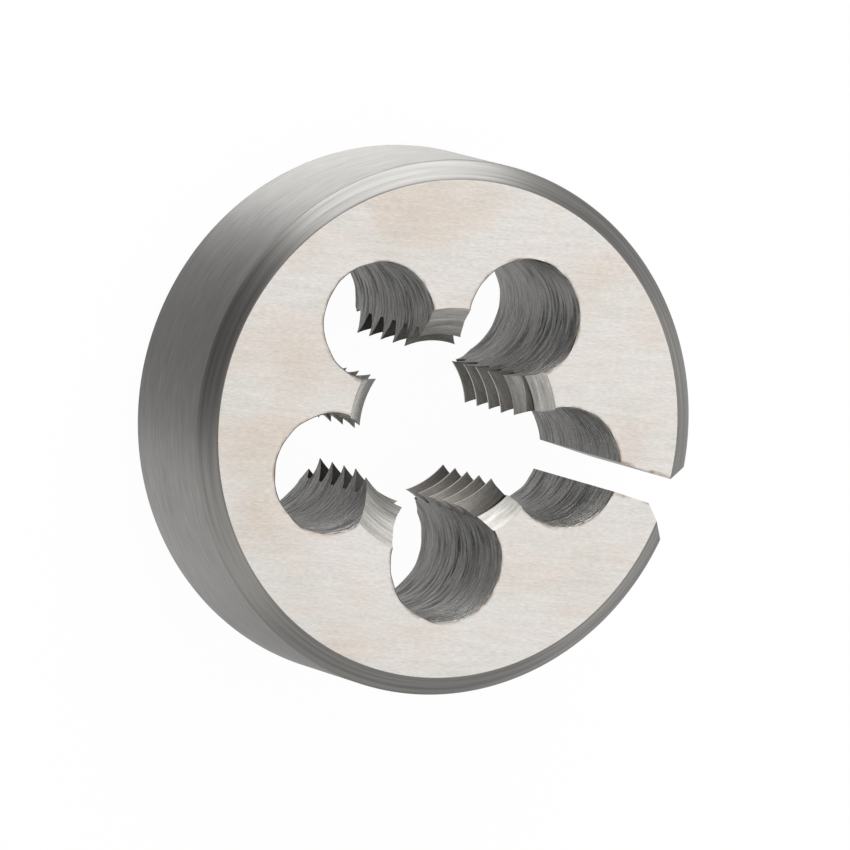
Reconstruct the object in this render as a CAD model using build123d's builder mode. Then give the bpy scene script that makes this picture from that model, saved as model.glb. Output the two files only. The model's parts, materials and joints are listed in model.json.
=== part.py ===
from build123d import *
import os

# A round threading die: one hardened disc with a coarse thread through its
# middle, five chip holes that break into the thread, and a thin slot that
# opens the hole at +X to the rim.
# Origin on the axis at mid thickness. +Z is the axis and points out of the
# front face, the side that starts the cut. The slot runs along +X.
# All sizes are millimetres and degrees.

# Disc
rim_radius = 19.0
thickness = 14.0
front_chamfer_width = 1.3
front_chamfer_depth = 0.95
back_chamfer_width = 1.8
back_chamfer_depth = 2.5

# Thread: nominal 14.3 with 12 threads to 25.4, right-hand
thread_pitch = 25.4 / 12
crest_radius = 5.88
crest_flat = 0.13
root_flat = 0.52
flank_angle = 30.0
crest_height_at_slot = -5.88

# Lead cones at the two ends of the thread: how far each opens past the root
# at its face. The back one is sunk off the axis, towards the slot
lead_angle = 90.0
front_lead_reach = 1.15
back_lead_reach = 0.85
back_lead_shift = 1.0

# Chip holes
chip_hole_count = 5
chip_hole_radius = 4.2
chip_circle_radius = 9.5

# A smaller hole beside the slotted one opens it wider into the thread
mouth_radius = 3.5
mouth_circle_radius = 8.0

# Slot, sawn a little to one side, and the groove that a spreading screw seats in
slot_width = 2.1
slot_offset = 0.53
groove_width = 5.5
groove_angle = 90.0

# How far cutting tools run past a surface
overrun = 1.0

front_z = thickness / 2
back_z = -thickness / 2

# Where the groove's edges leave the rim, and the point where its walls would meet
groove_half = groove_width / 2
groove_rim_x = (rim_radius**2 - groove_half**2) ** 0.5
groove_slope = Vector(1, 0, 0).rotate(Axis.Z, groove_angle / 2)
groove_apex_x = groove_rim_x - groove_half * groove_slope.X / groove_slope.Y
groove_outer_x = rim_radius + overrun
groove_outer_half = (groove_outer_x - groove_apex_x) * groove_slope.Y / groove_slope.X

# Thread groove profile, cut from just inside the crests out to the root
flank_slope = Vector(1, 0, 0).rotate(Axis.Z, flank_angle)
flank_run = flank_slope.Y / flank_slope.X
thread_depth = (thread_pitch - crest_flat - root_flat) / 2 / flank_run
root_radius = crest_radius + thread_depth
front_lead_radius = root_radius + front_lead_reach
back_lead_radius = root_radius + back_lead_reach
profile_inner = crest_radius - crest_flat / 2
root_gap_half = root_flat / 2
inner_gap_half = root_gap_half + (root_radius - profile_inner) * flank_run

# The lead cones' own pilot holes stay clear of the bore's wall, also when shifted
pilot_radius = crest_radius - back_lead_shift - overrun

# A groove starts half a pitch above a crest, with whole turns below the back face
groove_start_z = crest_height_at_slot + thread_pitch / 2 - 2 * thread_pitch
groove_turns = int(thickness / thread_pitch) + 3

with BuildPart() as thread_groove:
    with BuildLine(Plane.XY.offset(groove_start_z)) as groove_path:
        Helix(pitch=thread_pitch, height=groove_turns * thread_pitch, radius=crest_radius)
    with BuildSketch(Plane.XZ) as groove_profile:
        with BuildLine():
            Polyline(
                (profile_inner, groove_start_z - inner_gap_half),
                (root_radius, groove_start_z - root_gap_half),
                (root_radius, groove_start_z + root_gap_half),
                (profile_inner, groove_start_z + inner_gap_half),
                close=True,
            )
        make_face()
    sweep(path=groove_path.line, is_frenet=True)

with BuildPart() as die:
    # Turned disc with a chamfer at each end
    with BuildSketch(Plane.XZ):
        with BuildLine():
            Polyline(
                (0, back_z),
                (rim_radius - back_chamfer_width, back_z),
                (rim_radius, back_z + back_chamfer_depth),
                (rim_radius, front_z - front_chamfer_depth),
                (rim_radius - front_chamfer_width, front_z),
                (0, front_z),
                close=True,
            )
        make_face()
    revolve(axis=Axis.Z)

    # Bore at the thread's crests, and the groove that opens into it
    Hole(crest_radius)
    add(thread_groove.part, mode=Mode.SUBTRACT)

    # A lead cone at each end
    with Locations((0, 0, front_z)):
        CounterSinkHole(pilot_radius, front_lead_radius, counter_sink_angle=lead_angle)
    with Locations(Location((back_lead_shift, 0, back_z), (180, 0, 0))):
        CounterSinkHole(pilot_radius, back_lead_radius, counter_sink_angle=lead_angle)

    # Chip holes, the first of them on the slot
    with PolarLocations(chip_circle_radius, chip_hole_count):
        Hole(chip_hole_radius)

    # Wider mouth from the thread into the slotted hole
    with Locations((mouth_circle_radius, 0, 0)):
        Hole(mouth_radius)

    # Slot from the chip hole out through the rim
    with Locations((chip_circle_radius, slot_offset, 0)):
        Box(
            rim_radius + overrun - chip_circle_radius,
            slot_width,
            thickness + 2 * overrun,
            align=(Align.MIN, Align.CENTER, Align.CENTER),
            mode=Mode.SUBTRACT,
        )

    # Screw seat: a vee along the rim at the slot's outer end
    with BuildSketch(Plane.XY.offset(back_z - overrun)):
        with BuildLine():
            Polyline(
                (groove_apex_x, 0),
                (groove_outer_x, -groove_outer_half),
                (groove_outer_x, groove_outer_half),
                close=True,
            )
        make_face()
    extrude(amount=thickness + 2 * overrun, mode=Mode.SUBTRACT)

die.part.label = "threading_die"

os.makedirs("parts", exist_ok=True)
export_step(die.part, "parts/threading_die.step")
print("solids", len(die.part.solids()), "volume", round(die.part.volume, 1))
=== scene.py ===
import json
import math

import bmesh
import bpy
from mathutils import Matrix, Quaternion, Vector, noise

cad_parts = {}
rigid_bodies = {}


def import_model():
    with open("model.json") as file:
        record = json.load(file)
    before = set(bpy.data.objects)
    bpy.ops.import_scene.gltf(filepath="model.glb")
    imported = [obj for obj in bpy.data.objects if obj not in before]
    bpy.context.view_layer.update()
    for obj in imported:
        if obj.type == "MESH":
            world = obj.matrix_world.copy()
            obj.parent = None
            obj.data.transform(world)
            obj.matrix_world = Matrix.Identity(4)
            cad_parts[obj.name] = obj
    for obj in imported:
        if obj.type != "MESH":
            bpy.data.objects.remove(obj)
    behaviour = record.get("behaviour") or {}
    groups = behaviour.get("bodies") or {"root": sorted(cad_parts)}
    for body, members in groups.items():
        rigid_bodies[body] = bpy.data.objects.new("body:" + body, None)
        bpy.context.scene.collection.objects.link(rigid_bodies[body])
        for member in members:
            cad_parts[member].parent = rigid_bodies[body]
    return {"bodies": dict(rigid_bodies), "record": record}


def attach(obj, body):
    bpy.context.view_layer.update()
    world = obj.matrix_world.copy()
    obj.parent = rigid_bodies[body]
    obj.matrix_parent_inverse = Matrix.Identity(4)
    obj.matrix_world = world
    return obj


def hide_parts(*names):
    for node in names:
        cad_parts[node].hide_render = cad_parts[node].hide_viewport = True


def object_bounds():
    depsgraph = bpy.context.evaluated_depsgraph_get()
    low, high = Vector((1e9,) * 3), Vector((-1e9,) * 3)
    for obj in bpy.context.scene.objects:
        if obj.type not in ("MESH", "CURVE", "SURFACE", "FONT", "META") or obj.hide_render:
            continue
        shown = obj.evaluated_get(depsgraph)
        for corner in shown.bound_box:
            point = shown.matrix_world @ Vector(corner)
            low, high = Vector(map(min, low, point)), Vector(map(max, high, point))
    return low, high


bl_info = {
    "name": "Round threading die",
    "version": (1, 0, 0),
    "blender": (4, 5, 0),
    "location": "3D View > Sidebar > Die",
    "description": "Cuts and finishes a split round threading die, and sets it on a pale stage",
    "category": "Object",
}

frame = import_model()
CAD_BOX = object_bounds()

NODE = "threading_die"
BODY = next(iter(frame["bodies"]))
MM = 0.001
MOUNTS = {mount["name"]: mount for mount in frame["record"]["mounts"]}
BACK_Z = CAD_BOX[0].z
FRONT_Z = CAD_BOX[1].z
RIM_RADIUS = MOUNTS["rim"]["dims"]["r_mm"] * MM

# How far a cutting tool runs past the disc
OVERRUN = 1.0 * MM
# Points nearer than this are one point
WELD = 0.001 * MM
# How far below a face the ragged edge of a drilled hole reaches
EDGE_DEPTH = 0.7 * MM
# Share of the turn between two lands in which the front lead passes from one to the next
BLEND = 0.3
# Share of the disc's faces that any sound cut leaves
FACES_LEFT = 0.5
# How far a face's normal leans along the axis: a flat face more than the first, the rim less than the second
FLAT_LEAN = 0.99
RIM_LEAN = 0.3

# How many sides the round pieces have
DISC_SIDES = 360
CONE_SIDES = 240
DRILL_SIDES = 112
# Rings along a drill, steps in one turn of the thread, and turns cut beyond the disc
DRILL_RINGS = 90
TURN_STEPS = 120
SPARE_TURNS = 3
# Edges that turn by less than this are smooth
SMOOTH_ANGLE = math.radians(28)

# How far drilling leaves a wall out of true, in millimetres
MARK_DEPTH = 0.04
LINE_DEPTH = 0.015
RAGGED_DEPTH = 0.09

# Turn of the anisotropy that stretches highlights up the axis
BRUSHED_TURN = 0.25

# Floor, in metres, and the share of it that is plain white to the camera, glossy and through rays
FLOOR_SIZE = 6.0
FLOOR_GLOW = 0.97
FLOOR_PAINT = (0.85, 0.85, 0.85, 1)

# Each lamp's name, place, width and height in metres, and power in watts
LAMPS = (
    ("key", (0.38, 0.02, 0.72), (0.6, 0.6), 0.25),
    ("overhead", (-0.12, 0.59, 0.23), (0.75, 0.46), 5.5),
    ("fill", (0.62, 0.0, 0.13), (0.7, 0.24), 0.6),
    ("low_side", (-0.34, -0.49, 0.25), (0.6, 0.4), 0.75),
)

# The white tent, and the dark opening in it: where it lies, where it fades, and both strengths
OPENING_SIDE = (-0.87, 0.07, 0.48)
OPENING_FADE = (0.75, 0.95)
TENT_STRENGTH = 0.83
OPENING_STRENGTH = 0.08

SENSOR_MM = 36.0
VIEW_RANGE = (0.01, 10.0)


def length(name, description, default_mm):
    """A size that a user may change, given in millimetres and kept in metres."""
    return bpy.props.FloatProperty(
        name=name, description=description, default=default_mm * MM, min=0.0, precision=5, unit="LENGTH"
    )


def position(name, description, default_mm):
    """A place along an axis that a user may change, given in millimetres and kept in metres."""
    return bpy.props.FloatProperty(
        name=name, description=description, default=default_mm * MM, precision=5, unit="LENGTH"
    )


def colour(name, description, default):
    """A linear colour that a user may change."""
    return bpy.props.FloatVectorProperty(
        name=name, description=description, default=default, min=0.0, max=1.0, size=3, subtype="COLOR"
    )


class DieSizes(bpy.types.PropertyGroup):
    """Sizes of the die."""

    front_chamfer_width: length("Front chamfer width", "Radial width of the front chamfer", 1.3)
    front_chamfer_depth: length("Front chamfer depth", "Axial depth of the front chamfer", 0.95)
    back_chamfer_width: length("Back chamfer width", "Radial width of the back chamfer", 1.8)
    back_chamfer_depth: length("Back chamfer depth", "Axial depth of the back chamfer", 2.5)
    rim_edge: length("Rim edge", "Width of the soft edges that grinding leaves on the rim", 0.1)
    pitch: length("Pitch", "Distance from one thread crest to the next", 25.4 / 12)
    crest_radius: length("Crest radius", "Radius of the bore at the thread's crests", 5.88)
    crest_flat: length("Crest flat", "Width of the flat on each crest", 0.13)
    root_flat: length("Root flat", "Width of the flat in each root", 0.52)
    crest_z: length("Crest height", "Depth of a crest on the side of the slot, below mid thickness", 5.88)
    flank_angle: bpy.props.FloatProperty(
        name="Flank angle", description="Angle of each flank to the radius",
        default=math.radians(30.0), subtype="ANGLE",
    )
    lead_angle: bpy.props.FloatProperty(
        name="Lead angle", description="Full angle of the lead cones",
        default=math.radians(90.0), subtype="ANGLE",
    )
    front_lead_radii: bpy.props.FloatVectorProperty(
        name="Front lead radii",
        description="Radius of the front lead at the face, land by land from the slot",
        default=[radius * MM for radius in (8.3, 8.6, 7.7, 9.35, 8.2)],
        size=5, precision=5, unit="LENGTH",
    )
    back_lead_radius: length("Back lead radius", "Radius of the back lead cone at the face", 8.0)
    back_lead_shift: length("Back lead shift", "How far the back lead cone is sunk off the axis", 1.0)
    chip_hole_radius: length("Chip hole radius", "Radius of each chip hole", 4.2)
    chip_circle_radius: length("Chip circle radius", "Radius of the circle that the chip holes lie on", 9.5)
    chip_hole_count: bpy.props.IntProperty(
        name="Chip holes", description="How many chip holes there are", default=5, min=3, max=8
    )
    hole_edge: length("Hole edge", "Width of the broken edge where a hole meets a face", 0.1)
    mouth_radius: length("Mouth radius", "Radius of the hole that widens the slotted one", 3.5)
    mouth_circle_radius: length("Mouth centre", "From the axis to the centre of that hole", 8.0)
    slot_width: length("Slot width", "Width of the slot", 2.1)
    slot_offset: length("Slot offset", "How far the slot is sawn to one side", 0.53)
    groove_width: length("Screw seat width", "Width of the screw seat at the rim", 5.5)
    groove_angle: bpy.props.FloatProperty(
        name="Screw seat angle", description="Angle between the screw seat's walls",
        default=math.radians(90.0), subtype="ANGLE",
    )


class DieColours(bpy.types.PropertyGroup):
    """Colours of the die's finishes."""

    face: colour("Face", "Surface-ground faces", (0.74, 0.7, 0.665))
    stain: colour("Stain", "Faint tan stains on the ground faces", (0.68, 0.6, 0.52))
    cool: colour("Cool tint", "Faint cool patches on the ground faces", (0.69, 0.7, 0.67))
    # The rim colour is set far darker than the face's, though both are the same steel: partly its ground
    # finish and partly painted shade.
    rim: colour("Rim", "Ground rim", (0.31, 0.306, 0.297))
    chamfer: colour("Chamfer", "Turned chamfers", (0.205, 0.201, 0.192))
    wall: colour("Chip hole wall", "Drilled walls", (0.22, 0.216, 0.206))
    thread: colour("Thread", "Flanks of the thread", (0.125, 0.118, 0.108))
    # The crest colour is a painted highlight: a bright colour standing for the light that the narrow crest
    # flats catch.
    crest: colour("Crest", "Worn flats on the thread's crests", (0.5, 0.485, 0.46))
    lead: colour("Lead cone", "Turned lead cones", (0.45, 0.438, 0.413))
    burr: colour("Burr", "Brown tint on the broken edges of holes and slot", (0.3, 0.2, 0.13))
    slot: colour("Slot", "Walls of the slot and the screw seat", (0.3, 0.295, 0.285))


class DieStage(bpy.types.PropertyGroup):
    """The stage and the camera."""

    focal_mm: bpy.props.FloatProperty(
        name="Focal length", description="Camera's focal length in millimetres", default=682.8, min=10.0
    )
    distance: length("Camera distance", "From the camera to the point it looks at", 1142.6)
    aim_x: position("Aim X", "The point that the camera looks at, along the slot", 1.315)
    aim_y: position("Aim Y", "The point that the camera looks at, across the slot", -0.139)
    tilt: bpy.props.FloatProperty(
        name="Camera tilt", description="Angle between the view and the die's axis",
        default=math.radians(24.611), subtype="ANGLE",
    )
    azimuth: bpy.props.FloatProperty(
        name="Camera azimuth", description="Side that the camera stands on, counted from the slot",
        default=math.radians(-177.859), subtype="ANGLE",
    )
    roll: bpy.props.FloatProperty(
        name="Camera roll", description="Turn of the camera about its own view",
        default=math.radians(106.0), subtype="ANGLE",
    )


class Field:
    """A value that varies over a surface: one output socket, with arithmetic."""

    def __init__(self, nodes, socket):
        self.nodes = nodes
        self.socket = socket

    def __add__(self, other):
        return self.nodes.math("ADD", self, other)

    def __radd__(self, other):
        return self.nodes.math("ADD", other, self)

    def __sub__(self, other):
        return self.nodes.math("SUBTRACT", self, other)

    def __rsub__(self, other):
        return self.nodes.math("SUBTRACT", other, self)

    def __mul__(self, other):
        return self.nodes.math("MULTIPLY", self, other)

    def __rmul__(self, other):
        return self.nodes.math("MULTIPLY", other, self)

    def __truediv__(self, other):
        return self.nodes.math("DIVIDE", self, other)


class Nodes:
    """A node tree, in which each node comes from one method."""

    def __init__(self, tree):
        self.tree = tree

    def feed(self, socket, value):
        """Links a Field to a socket, or writes a plain value on it."""
        if isinstance(value, Field):
            self.tree.links.new(value.socket, socket)
        elif socket.type == "RGBA" and len(value) == 3:
            socket.default_value = (*value, 1.0)
        else:
            socket.default_value = value

    def node(self, kind, settings, *values, out=0, **named):
        """Adds a node: its settings first, then its sockets in order, then those given by name."""
        node = self.tree.nodes.new(kind)
        for key, value in settings.items():
            setattr(node, key, value)
        for socket, value in zip(node.inputs, values):
            self.feed(socket, value)
        for key, value in named.items():
            self.feed(node.inputs[key.replace("_", " ")], value)
        return Field(self, node.outputs[out]) if node.outputs else None

    def math(self, operation, *values):
        """One sum, or another Math operation, on Fields and numbers."""
        return self.node("ShaderNodeMath", {"operation": operation}, *values)


class Finish(Nodes):
    """One material, written as expressions on Fields. Lengths on its surface are millimetres."""

    def __init__(self, name):
        self.material = bpy.data.materials.new(name)
        self.material.use_nodes = True
        super().__init__(self.material.node_tree)
        self.tree.nodes.clear()
        metres = self.node("ShaderNodeTexCoord", {}, out="Object")
        self.place = self.node("ShaderNodeVectorMath", {"operation": "SCALE"}, metres, Scale=1.0 / MM)
        parts = self.tree.nodes.new("ShaderNodeSeparateXYZ")
        self.feed(parts.inputs[0], self.place)
        self.x, self.y, self.z = (Field(self, output) for output in parts.outputs)

    def from_axis(self):
        """How far a point lies from the die's axis."""
        return self.math("SQRT", self.x * self.x + self.y * self.y)

    def vector(self, x, y, z):
        """A vector from three Fields or numbers."""
        return self.node("ShaderNodeCombineXYZ", {}, x, y, z)

    def noise(self, at, detail=2.0, roughness=0.5, scale=1.0):
        """Smooth random values, near 0.5, at a vector Field in cells of one over scale."""
        return self.node(
            "ShaderNodeTexNoise", {}, at, Scale=scale, Detail=detail, Roughness=roughness
        )

    def grain(self):
        """Fine speckle, the same in every direction."""
        return self.noise(self.place, detail=2.0, roughness=0.7, scale=5.0)

    def ramp(self, value, low, high, shade_low=0.0, shade_high=1.0):
        """A straight ramp between two values, flat outside them."""
        return self.node(
            "ShaderNodeMapRange", {"clamp": True}, value,
            From_Min=low, From_Max=high, To_Min=shade_low, To_Max=shade_high,
        )

    def mix(self, share, first, second):
        """A colour between two colours."""
        node = self.tree.nodes.new("ShaderNodeMix")
        node.data_type = "RGBA"
        self.feed(node.inputs["Factor"], share)
        self.feed(node.inputs[6], first)
        self.feed(node.inputs[7], second)
        return Field(self, node.outputs[2])

    def shade(self, colour, value):
        """A colour made lighter or darker by a value near one."""
        return self.node("ShaderNodeVectorMath", {"operation": "SCALE"}, colour, Scale=value)

    def bump(self, height, strength, depth_mm):
        """A normal tilted by a height Field."""
        return self.node("ShaderNodeBump", {}, Strength=strength, Distance=depth_mm * MM, Height=height)

    def close(self, colour, roughness, normal, brushed=0.0):
        """Puts the fields on the metal's shader and returns the material.

        brushed stretches highlights up the axis, as lines round it do.
        """
        metal = self.node(
            "ShaderNodeBsdfPrincipled", {}, Base_Color=colour, Roughness=roughness, Metallic=1.0,
            Normal=normal, Anisotropic=brushed, Anisotropic_Rotation=BRUSHED_TURN,
        )
        self.node("ShaderNodeOutputMaterial", {}, metal)
        return self.material


def hole_sides(f, sizes):
    """The angle of the nearest chip hole, and how far out and to the side of its axis a point lies."""
    step = 2.0 * math.pi / sizes.chip_hole_count
    sector = f.math("ROUND", f.math("ARCTAN2", f.y, f.x) / step) * step
    out = f.x * f.math("COSINE", sector) + f.y * f.math("SINE", sector) - sizes.chip_circle_radius / MM
    side = f.y * f.math("COSINE", sector) - f.x * f.math("SINE", sector)
    return sector, out, side


def ground_face(colours, sizes):
    """Surface-ground faces: short straight scratches, tan stains, cool patches and brown edges."""
    f = Finish("ground_face")
    slope = math.radians(13.0)
    along = f.x * math.cos(slope) + f.y * math.sin(slope)
    across = f.y * math.cos(slope) - f.x * math.sin(slope)

    def streaks(along_rate, across_rate, lift, detail, roughness):
        """Noise drawn out along the grinding, in cells to the millimetre."""
        at = f.vector(along * along_rate, across * across_rate, f.z + lift)
        return f.noise(at, detail=detail, roughness=roughness)

    fine = streaks(2.2, 8.0, 0.0, 2.0, 0.6)
    coarse = streaks(0.3, 2.2, 0.0, 3.0, 0.55)
    stain = streaks(0.11, 0.15, 5.0, 3.0, 0.55) - 0.004 * f.x
    patch = streaks(0.2, 0.3, 40.0, 2.0, 0.5)
    tint = f.mix(f.ramp(stain, 0.46, 0.68, 0.0, 0.75), colours.face, colours.stain)
    tint = f.mix(f.ramp(patch, 0.45, 0.65, 0.0, 0.45), tint, colours.cool)
    _, out, side = hole_sides(f, sizes)
    from_hole = f.math("SQRT", out * out + side * side) - sizes.chip_hole_radius / MM
    from_slot = f.math("ABSOLUTE", f.y - sizes.slot_offset / MM) - sizes.slot_width / MM / 2
    # There is no slot short of its chip hole, so the way to it is made long there
    from_slot = from_slot + f.ramp(f.x, 13.0, 12.0, 0.0, 20.0)
    edge = f.ramp(f.math("MINIMUM", from_hole, from_slot), 0.28, 0.08)
    worn = f.ramp(f.noise(f.place, detail=3.0, roughness=0.6, scale=0.7), 0.4, 0.62)
    tint = f.mix(edge * worn, tint, colours.burr)
    tone = 0.67 + 0.42 * fine + 0.24 * coarse
    return f.close(f.shade(tint, tone), 0.4 + 0.1 * fine, f.bump(fine, 0.4, 0.015))


def round_lines(f, along_rate, across_rate, detail=3.0):
    """Noise drawn out along circles round the axis, which repeats up the axis."""
    around = f.math("ARCTAN2", f.y, f.x)
    turn = f.vector(
        f.math("COSINE", around) * along_rate, f.math("SINE", around) * along_rate, f.z * across_rate
    )
    return f.noise(turn, detail=detail, roughness=0.6)


def ground_rim(colours):
    """The ground rim: fine short lines round the disc."""
    f = Finish("ground_rim")
    fine = round_lines(f, 9.0, 7.0)
    coarse = round_lines(f, 2.0, 1.3, detail=2.0)
    tone = 0.55 + 0.7 * fine + 0.2 * coarse
    # The rim colour is partly painted shade: darker than the same steel on the faces.
    return f.close(f.shade(colours.rim, tone), 0.66, f.bump(fine, 0.5, 0.015), brushed=1.0)


def turned_chamfer(colours):
    """Turned chamfers: rings, some of them deeper than the rest."""
    f = Finish("turned_chamfer")
    rings = round_lines(f, 1.2, 6.0)
    tone = 0.4 + 1.2 * rings
    return f.close(f.shade(colours.chamfer, tone), 0.42, f.bump(rings, 0.7, 0.03), brushed=0.7)


def drilled_wall(colours, sizes):
    """Chip hole walls: dark torn marks round each hole, with smoother patches between them."""
    f = Finish("drilled_wall")
    sector, out, side = hole_sides(f, sizes)
    around = f.math("ARCTAN2", side, out)
    turn_x = f.math("COSINE", around)
    turn_y = f.math("SINE", around)
    marks = f.noise(
        f.vector(turn_x * 1.3 + sector * 3.0, turn_y * 1.3, f.z * 2.9), detail=3.0, roughness=0.6
    )
    fine = f.noise(
        f.vector(turn_x * 3.0 + sector * 5.0, turn_y * 3.0, f.z * 9.0), detail=2.0, roughness=0.6
    )
    rough = f.ramp(
        f.noise(f.vector(turn_x * 0.8 + sector, turn_y * 0.8, f.z * 0.16), detail=1.0), 0.38, 0.6
    )
    torn = f.ramp(marks, 0.55, 0.38)
    tone = 0.52 + 0.9 * fine + 0.6 * f.grain() - torn * (0.35 + 0.65 * rough)
    height = marks * (0.3 + 0.7 * rough) + 0.8 * fine
    return f.close(f.shade(colours.wall, tone), 0.46, f.bump(height, 1.0, 0.25))


def cut_thread(colours):
    """Thread flanks: brownish, with painted shade that darkens them down in the roots, and fine lines along
    the helix.
    """
    f = Finish("cut_thread")
    lines = round_lines(f, 3.5, 9.0)
    # Painted shade: the colour darkens from the crests down into the roots.
    depth = f.ramp(f.from_axis(), 5.9, 7.15, 1.15, 0.6)
    tone = (0.2 + 1.0 * lines + 0.6 * f.grain()) * depth
    return f.close(f.shade(colours.thread, tone), 0.34, f.bump(lines, 0.5, 0.02))


def crest_highlight(colours):
    """The narrow flats on the crests, in a bright colour that is a painted highlight standing for the light
    they catch.
    """
    f = Finish("crest_highlight")
    lines = round_lines(f, 3.0, 8.0, detail=2.0)
    return f.close(f.shade(colours.crest, 0.7 + 0.6 * lines), 0.4, f.bump(lines, 0.3, 0.01))


def turned_lead(colours):
    """Lead cones: turned rings and bands, lighter than the thread, with painted shade that darkens them
    towards the bore.
    """
    f = Finish("turned_lead")
    rings = round_lines(f, 2.2, 6.5)
    bands = f.ramp(round_lines(f, 1.0, 1.1, detail=1.0), 0.35, 0.62, 0.75, 1.1)
    # Painted shade: the colour darkens towards the bore, down into the hole.
    depth = f.ramp(f.from_axis(), 6.4, 7.5, 0.64, 1.12)
    tone = (0.15 + 1.3 * rings + 0.45 * f.grain()) * bands * depth
    return f.close(f.shade(colours.lead, tone), 0.58, f.bump(rings, 0.8, 0.06))


def sawn_slot(colours):
    """Slot and screw seat: straight marks along the cut."""
    f = Finish("sawn_slot")
    lines = f.noise(f.vector(f.x * 0.4, f.y, f.z * 8.0), detail=3.0)
    return f.close(f.shade(colours.slot, 0.8 + 0.4 * lines), 0.42, f.bump(lines, 0.4, 0.015))


def focus(obj):
    """Selects one object alone and makes it active."""
    bpy.ops.object.select_all(action="DESELECT")
    obj.select_set(True)
    bpy.context.view_layer.objects.active = obj


def made(name, material):
    """Names the new active object and gives it a material all over."""
    obj = bpy.context.object
    obj.name = name
    obj.data.name = name
    if material is not None:
        obj.data.materials.append(material)
    return obj


def pick(obj, test, kind="FACE"):
    """In edit mode, selects the faces or edges for which test holds, and nothing else."""
    bpy.context.tool_settings.mesh_select_mode = (False, kind == "EDGE", kind == "FACE")
    mesh = bmesh.from_edit_mesh(obj.data)
    for part in (*mesh.verts, *mesh.edges, *mesh.faces):
        part.select = False
    for part in mesh.faces if kind == "FACE" else mesh.edges:
        if test(part):
            part.select_set(True)
    mesh.select_flush_mode()
    bmesh.update_edit_mesh(obj.data)


def settle(obj):
    """Leaves edit mode with the object's place written into its mesh."""
    if bpy.context.mode != "OBJECT":
        bpy.ops.object.mode_set(mode="OBJECT")
    focus(obj)
    bpy.ops.object.transform_apply(location=True, rotation=True, scale=True)
    return obj


def cut(body, tool):
    """Takes the tool's volume out of the body and removes the tool."""
    faces = len(body.data.polygons)
    focus(body)
    modifier = body.modifiers.new("cut", "BOOLEAN")
    modifier.object = tool
    modifier.operation = "DIFFERENCE"
    modifier.solver = "EXACT"
    modifier.material_mode = "TRANSFER"
    bpy.ops.object.modifier_apply(modifier=modifier.name)
    # A cut that fails gives no error, and only a few faces are left
    if len(body.data.polygons) < faces * FACES_LEFT:
        raise RuntimeError(f"Cutting with {tool.name} broke {body.name}")
    bpy.data.objects.remove(tool)


def taper_end(obj, side, step, factor):
    """Extrudes the end face on one side along Z by step and scales it, as a cone."""
    pick(obj, lambda face: face.normal.z * side > FLAT_LEAN)
    bpy.ops.mesh.extrude_region_move(TRANSFORM_OT_translate={"value": (0, 0, side * step)})
    bpy.ops.transform.resize(value=(factor, factor, 1), center_override=(0, 0, 0))


class DIE_OT_turn_blank(bpy.types.Operator):
    """Turn the disc, with a chamfer at each end"""

    bl_idname = "die.turn_blank"
    bl_label = "Turn blank"

    def execute(self, context):
        s = context.scene.die_sizes
        colours = context.scene.die_colours
        low = BACK_Z + s.back_chamfer_depth
        high = FRONT_Z - s.front_chamfer_depth
        bpy.ops.object.select_all(action="DESELECT")
        bpy.ops.mesh.primitive_cylinder_add(
            vertices=DISC_SIDES, radius=RIM_RADIUS, depth=high - low, end_fill_type="NGON",
            location=(0, 0, (high + low) / 2),
        )
        disc = settle(made("die_disc", None))
        for material in (ground_face(colours, s), ground_rim(colours), turned_chamfer(colours)):
            disc.data.materials.append(material)
        bpy.ops.object.mode_set(mode="EDIT")
        taper_end(disc, 1, s.front_chamfer_depth, 1 - s.front_chamfer_width / RIM_RADIUS)
        taper_end(disc, -1, s.back_chamfer_depth, 1 - s.back_chamfer_width / RIM_RADIUS)
        pick(disc, lambda edge: abs(edge.verts[0].co.z - edge.verts[1].co.z) < WELD, "EDGE")
        bpy.ops.mesh.bevel(offset=s.rim_edge, segments=3, profile=0.5)
        settle(disc)
        for face in disc.data.polygons:
            lean = abs(face.normal.z)
            face.material_index = 0 if lean > FLAT_LEAN else 1 if lean < RIM_LEAN else 2
        return {"FINISHED"}


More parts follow.
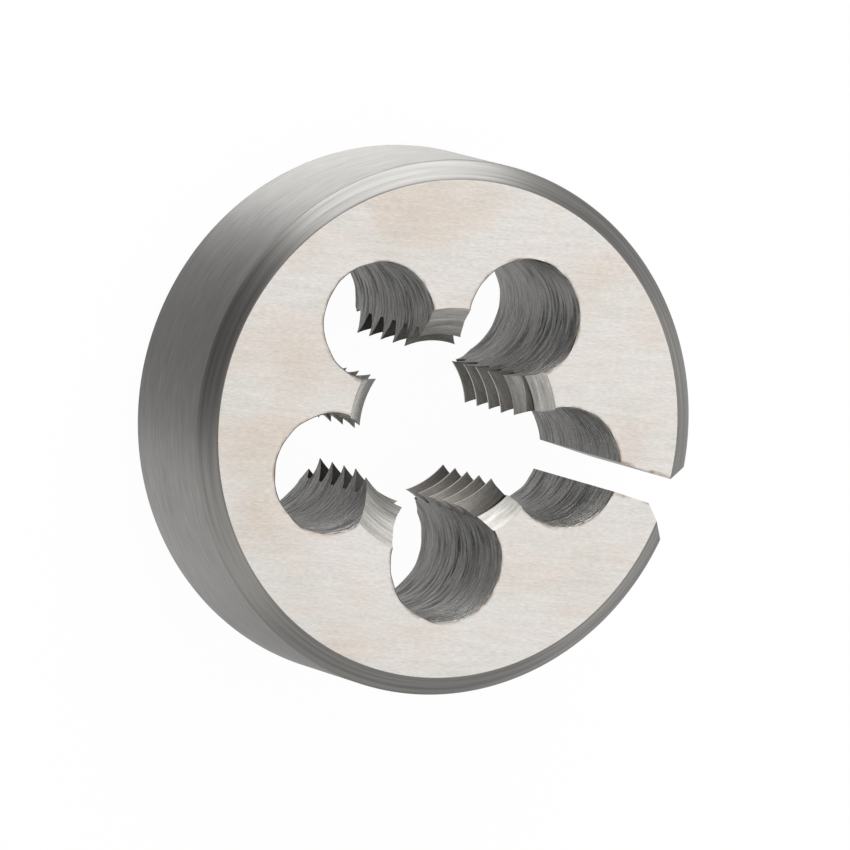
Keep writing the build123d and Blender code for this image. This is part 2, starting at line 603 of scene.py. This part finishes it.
class DIE_OT_cut_thread(bpy.types.Operator):
    """Cut the thread through the middle, and a lead cone at each end"""

    bl_idname = "die.cut_thread"
    bl_label = "Cut thread"

    def execute(self, context):
        s = context.scene.die_sizes
        colours = context.scene.die_colours
        disc = bpy.data.objects["die_disc"]
        cut(disc, self.tap(s, colours))
        lead = turned_lead(colours)
        cut(disc, self.cone(s, 1, max(s.front_lead_radii), lead))
        cut(disc, self.cone(s, -1, s.back_lead_radius, lead))
        return {"FINISHED"}

    def tap(self, s, colours):
        """The thread's space as one solid: a profile one pitch long, screwed up the axis."""
        depth = (s.pitch - s.crest_flat - s.root_flat) / 2 / math.tan(s.flank_angle)
        root = s.crest_radius + depth
        turns = math.ceil((FRONT_Z - BACK_Z + 2 * OVERRUN) / s.pitch) + SPARE_TURNS
        low = -s.crest_z - s.pitch / 2 - SPARE_TURNS * s.pitch
        half = s.pitch / 2
        points = [
            (root, 0.0),
            (root, s.root_flat / 2),
            (s.crest_radius, half - s.crest_flat / 2),
            (s.crest_radius, half + s.crest_flat / 2),
            (root, s.pitch - s.root_flat / 2),
            (root, s.pitch),
        ]
        bpy.ops.object.select_all(action="DESELECT")
        bpy.ops.mesh.primitive_plane_add(size=s.pitch)
        tap = made("tap", cut_thread(colours))
        tap.data.materials.append(crest_highlight(colours))
        bpy.ops.object.mode_set(mode="EDIT")
        bpy.ops.mesh.select_all(action="SELECT")
        bpy.ops.mesh.delete(type="VERT")
        mesh = bmesh.from_edit_mesh(tap.data)
        line = [mesh.verts.new((r, 0, low + z)) for r, z in points]
        for first, second in zip(line, line[1:]):
            mesh.edges.new((first, second))
        bmesh.update_edit_mesh(tap.data)
        bpy.ops.object.mode_set(mode="OBJECT")
        screw = tap.modifiers.new("turns", "SCREW")
        screw.angle = 2 * math.pi
        screw.screw_offset = s.pitch
        screw.iterations = turns
        screw.steps = screw.render_steps = TURN_STEPS
        focus(tap)
        bpy.ops.object.modifier_apply(modifier=screw.name)
        bpy.ops.object.mode_set(mode="EDIT")
        bpy.ops.mesh.select_all(action="SELECT")
        bpy.ops.mesh.remove_doubles(threshold=WELD)
        for side, end in ((-1, BACK_Z - OVERRUN), (1, FRONT_Z + OVERRUN)):
            bpy.ops.mesh.select_all(action="SELECT")
            bpy.ops.mesh.bisect(
                plane_co=(0, 0, end), plane_no=(0, 0, side), use_fill=True, clear_outer=True,
                threshold=WELD / 10,
            )
        bpy.ops.mesh.select_all(action="SELECT")
        bpy.ops.mesh.normals_make_consistent(inside=False)
        settle(tap)
        # Faces on the crests take the bright colour of the painted highlight.
        for face in tap.data.polygons:
            corners = [tap.data.vertices[index].co.xy.length for index in face.vertices]
            face.material_index = 1 if max(corners) - s.crest_radius < WELD else 0
        return tap

    def cone(self, s, side, face_radius, material):
        """A lead cone's space, from inside the bore out past the face."""
        slope = math.tan(s.lead_angle / 2)
        inner = s.crest_radius - s.back_lead_shift
        face_z = FRONT_Z if side > 0 else BACK_Z
        outer = face_radius + OVERRUN * slope
        depth = (face_radius - inner) / slope + OVERRUN
        centre = face_z + side * (OVERRUN - depth / 2)
        bpy.ops.object.select_all(action="DESELECT")
        bpy.ops.mesh.primitive_cone_add(
            vertices=CONE_SIDES, depth=depth, location=(0, 0, centre), end_fill_type="NGON",
            radius1=inner if side > 0 else outer, radius2=outer if side > 0 else inner,
        )
        lead = made("lead", material)
        if side > 0:
            for vertex in lead.data.vertices:
                out = Vector((vertex.co.x, vertex.co.y, 0)).normalized()
                vertex.co += out * (self.reach(s, vertex.co) - face_radius)
        else:
            lead.location.x = s.back_lead_shift
        return settle(lead)

    def reach(self, s, at):
        """The front lead's radius in a direction: one for each land, blended across the chip holes."""
        lands = len(s.front_lead_radii)
        turn = math.atan2(at.y, at.x) / (2 * math.pi) * lands
        hole = round(turn)
        share = min(max((turn - hole) / BLEND + 0.5, 0.0), 1.0)
        before = s.front_lead_radii[(hole - 1) % lands]
        after = s.front_lead_radii[hole % lands]
        return before + (after - before) * share * share * (3 - 2 * share)


def drill_wave(angle, z, seed):
    """How far a drill left the wall out of true at an angle and height, in metres."""
    turn_x, turn_y = math.cos(angle), math.sin(angle)
    marks = noise.noise(Vector((turn_x * 0.7 + seed * 7.3, turn_y * 0.7, z / MM * 1.5 + 0.2 * angle)))
    fine = noise.noise(Vector((turn_x * 1.5 + seed, turn_y * 1.5, z / MM * 4.0)))
    ragged = noise.noise(Vector((turn_x * 3.5 + seed * 3.1, turn_y * 3.5, math.copysign(1.0, z))))
    near_face = max(0.0, 1.0 - (FRONT_Z - abs(z)) / EDGE_DEPTH)
    return (MARK_DEPTH * marks + LINE_DEPTH * fine + RAGGED_DEPTH * ragged * near_face) * MM


class DIE_OT_drill_chip_holes(bpy.types.Operator):
    """Drill the chip holes round the thread, and widen the mouth of the slotted one"""

    bl_idname = "die.drill_chip_holes"
    bl_label = "Drill chip holes"

    def execute(self, context):
        s = context.scene.die_sizes
        colours = context.scene.die_colours
        disc = bpy.data.objects["die_disc"]
        wall = drilled_wall(colours, s)
        for index in range(s.chip_hole_count):
            angle = 2 * math.pi * index / s.chip_hole_count
            centre = Vector((math.cos(angle), math.sin(angle), 0)) * s.chip_circle_radius
            cut(disc, self.drill(s, s.chip_hole_radius, index, centre, wall))
        mouth = Vector((s.mouth_circle_radius, 0, 0))
        cut(disc, self.drill(s, s.mouth_radius, s.chip_hole_count, mouth, wall))
        return {"FINISHED"}

    def drill(self, s, radius, index, centre, material):
        """One chip hole's space: a cylinder with drill marks, flared where it leaves the faces."""
        edge = s.hole_edge
        bpy.ops.object.select_all(action="DESELECT")
        bpy.ops.mesh.primitive_cylinder_add(
            vertices=DRILL_SIDES, radius=radius, depth=FRONT_Z - BACK_Z - 2 * edge,
            end_fill_type="NGON",
        )
        drill = made("drill", material)
        bpy.ops.object.mode_set(mode="EDIT")
        pick(drill, lambda part: abs(part.verts[0].co.z - part.verts[1].co.z) > edge, "EDGE")
        bpy.ops.mesh.subdivide(number_cuts=DRILL_RINGS)
        taper_end(drill, 1, 2 * edge, 1 + 2 * edge / radius)
        taper_end(drill, -1, 2 * edge, 1 + 2 * edge / radius)
        bpy.ops.object.mode_set(mode="OBJECT")
        for vertex in drill.data.vertices:
            angle = math.atan2(vertex.co.y, vertex.co.x)
            out = Vector((vertex.co.x, vertex.co.y, 0)).normalized()
            vertex.co += out * drill_wave(angle, vertex.co.z, index)
        drill.location = centre
        return settle(drill)


class DIE_OT_saw_slot(bpy.types.Operator):
    """Saw the slot from its chip hole to the rim, and cut the screw seat at its end"""

    bl_idname = "die.saw_slot"
    bl_label = "Saw slot"

    def execute(self, context):
        s = context.scene.die_sizes
        disc = bpy.data.objects["die_disc"]
        material = sawn_slot(context.scene.die_colours)
        tall = FRONT_Z - BACK_Z + 2 * OVERRUN
        end = RIM_RADIUS + OVERRUN
        bpy.ops.object.select_all(action="DESELECT")
        bpy.ops.mesh.primitive_cube_add(
            size=1, location=((s.chip_circle_radius + end) / 2, s.slot_offset, 0),
            scale=(end - s.chip_circle_radius, s.slot_width, tall),
        )
        cut(disc, settle(made("saw", material)))
        half = s.groove_width / 2
        slope = math.tan(s.groove_angle / 2)
        rim_x = math.sqrt(RIM_RADIUS**2 - half**2)
        apex = rim_x - half / slope
        reach = end - apex
        bpy.ops.object.select_all(action="DESELECT")
        bpy.ops.mesh.primitive_cube_add(size=1, location=(apex + reach / 2, 0, 0), scale=(reach, 1, tall))
        seat = settle(made("seat", material))
        for vertex in seat.data.vertices:
            vertex.co.y = math.copysign(max(vertex.co.x - apex, WELD) * slope, vertex.co.y)
        cut(disc, seat)
        return {"FINISHED"}


class DIE_OT_finish(bpy.types.Operator):
    """Smooth the disc and tie it to the frame"""

    bl_idname = "die.finish"
    bl_label = "Finish"

    def execute(self, context):
        disc = bpy.data.objects["die_disc"]
        focus(disc)
        bpy.ops.object.shade_smooth_by_angle(angle=SMOOTH_ANGLE)
        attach(disc, BODY)
        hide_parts(NODE)
        return {"FINISHED"}


def area_lamp(name, place, size, power):
    """A soft rectangular lamp at a place, turned to the middle of the die."""
    data = bpy.data.lights.new(name, "AREA")
    data.shape = "RECTANGLE"
    data.size, data.size_y = size
    data.energy = power
    lamp = bpy.data.objects.new(name, data)
    bpy.context.scene.collection.objects.link(lamp)
    lamp.location = place
    lamp.rotation_mode = "QUATERNION"
    lamp.rotation_quaternion = Vector(place).to_track_quat("Z", "Y")
    return lamp


class DIE_OT_stage(bpy.types.Operator):
    """Lay a pale floor, light it and set the camera"""

    bl_idname = "die.stage"
    bl_label = "Stage"

    def execute(self, context):
        self.floor()
        for lamp in LAMPS:
            area_lamp(*lamp)
        self.sky(context.scene)
        self.camera(context.scene)
        context.scene.view_settings.view_transform = "Standard"
        return {"FINISHED"}

    def floor(self):
        """A floor that looks plain white and still takes the die's shadow."""
        bpy.ops.object.select_all(action="DESELECT")
        bpy.ops.mesh.primitive_plane_add(size=FLOOR_SIZE, location=(0, 0, BACK_Z))
        material = bpy.data.materials.new("pale_floor")
        material.use_nodes = True
        floor = settle(made("floor", material))
        nodes = Nodes(material.node_tree)
        nodes.tree.nodes.clear()
        rays = nodes.tree.nodes.new("ShaderNodeLightPath")
        camera, glossy, through = (
            Field(nodes, rays.outputs[kind])
            for kind in ("Is Camera Ray", "Is Glossy Ray", "Is Transmission Ray")
        )
        seen = nodes.math("MAXIMUM", nodes.math("MAXIMUM", camera, glossy), through)
        paint = nodes.node("ShaderNodeBsdfDiffuse", {}, FLOOR_PAINT)
        glow = nodes.node("ShaderNodeEmission", {}, Strength=1.0)
        mixed = nodes.node("ShaderNodeMixShader", {}, seen * FLOOR_GLOW, paint, glow)
        nodes.node("ShaderNodeOutputMaterial", {}, mixed)

    def sky(self, scene):
        """A white tent with a dark opening on the side where the camera stands."""
        world = bpy.data.worlds.new("studio")
        world.use_nodes = True
        nodes = Nodes(world.node_tree)
        nodes.tree.nodes.clear()
        direction = nodes.node("ShaderNodeTexCoord", {}, out="Generated")
        facing = nodes.node(
            "ShaderNodeVectorMath", {"operation": "DOT_PRODUCT"},
            direction, Vector(OPENING_SIDE).normalized(), out="Value",
        )
        strength = nodes.node(
            "ShaderNodeMapRange", {"interpolation_type": "SMOOTHSTEP"}, facing,
            From_Min=OPENING_FADE[0], From_Max=OPENING_FADE[1],
            To_Min=TENT_STRENGTH, To_Max=OPENING_STRENGTH,
        )
        light = nodes.node("ShaderNodeBackground", {}, (1, 1, 1, 1), strength)
        nodes.node("ShaderNodeOutputWorld", {}, light)
        scene.world = world

    def camera(self, scene):
        """A long lens, aimed, tilted and rolled as the stage's values say."""
        s = scene.die_stage
        data = bpy.data.cameras.new("camera")
        data.lens = s.focal_mm
        data.sensor_width = SENSOR_MM
        data.clip_start, data.clip_end = VIEW_RANGE
        camera = bpy.data.objects.new("camera", data)
        scene.collection.objects.link(camera)
        side = Vector((math.cos(s.azimuth), math.sin(s.azimuth), 0))
        toward = side * math.sin(s.tilt) + Vector((0, 0, math.cos(s.tilt)))
        camera.location = Vector((s.aim_x, s.aim_y, 0)) + toward * s.distance
        camera.rotation_mode = "QUATERNION"
        turn = Quaternion((0, 0, 1), s.roll)
        camera.rotation_quaternion = toward.to_track_quat("Z", "Y") @ turn
        scene.camera = camera


class DIE_PT_sidebar(bpy.types.Panel):
    """The die's steps, sizes and colours"""

    bl_idname = "DIE_PT_sidebar"
    bl_label = "Threading die"
    bl_space_type = "VIEW_3D"
    bl_region_type = "UI"
    bl_category = "Die"

    def draw(self, context):
        for step in STEPS:
            self.layout.operator(step.bl_idname)
        for group in (context.scene.die_sizes, context.scene.die_colours, context.scene.die_stage):
            for key in group.__annotations__:
                self.layout.prop(group, key)


STEPS = (
    DIE_OT_turn_blank, DIE_OT_cut_thread, DIE_OT_drill_chip_holes, DIE_OT_saw_slot, DIE_OT_finish,
    DIE_OT_stage,
)
CLASSES = (DieSizes, DieColours, DieStage, *STEPS, DIE_PT_sidebar)


def register():
    for cls in CLASSES:
        bpy.utils.register_class(cls)
    bpy.types.Scene.die_sizes = bpy.props.PointerProperty(type=DieSizes)
    bpy.types.Scene.die_colours = bpy.props.PointerProperty(type=DieColours)
    bpy.types.Scene.die_stage = bpy.props.PointerProperty(type=DieStage)


def unregister():
    del bpy.types.Scene.die_stage
    del bpy.types.Scene.die_colours
    del bpy.types.Scene.die_sizes
    for cls in reversed(CLASSES):
        bpy.utils.unregister_class(cls)


def main():
    """Makes the die step by step."""
    register()
    bpy.ops.die.turn_blank()
    bpy.ops.die.cut_thread()
    bpy.ops.die.drill_chip_holes()
    bpy.ops.die.saw_slot()
    bpy.ops.die.finish()
    bpy.ops.die.stage()


if __name__ == "__main__":
    main()
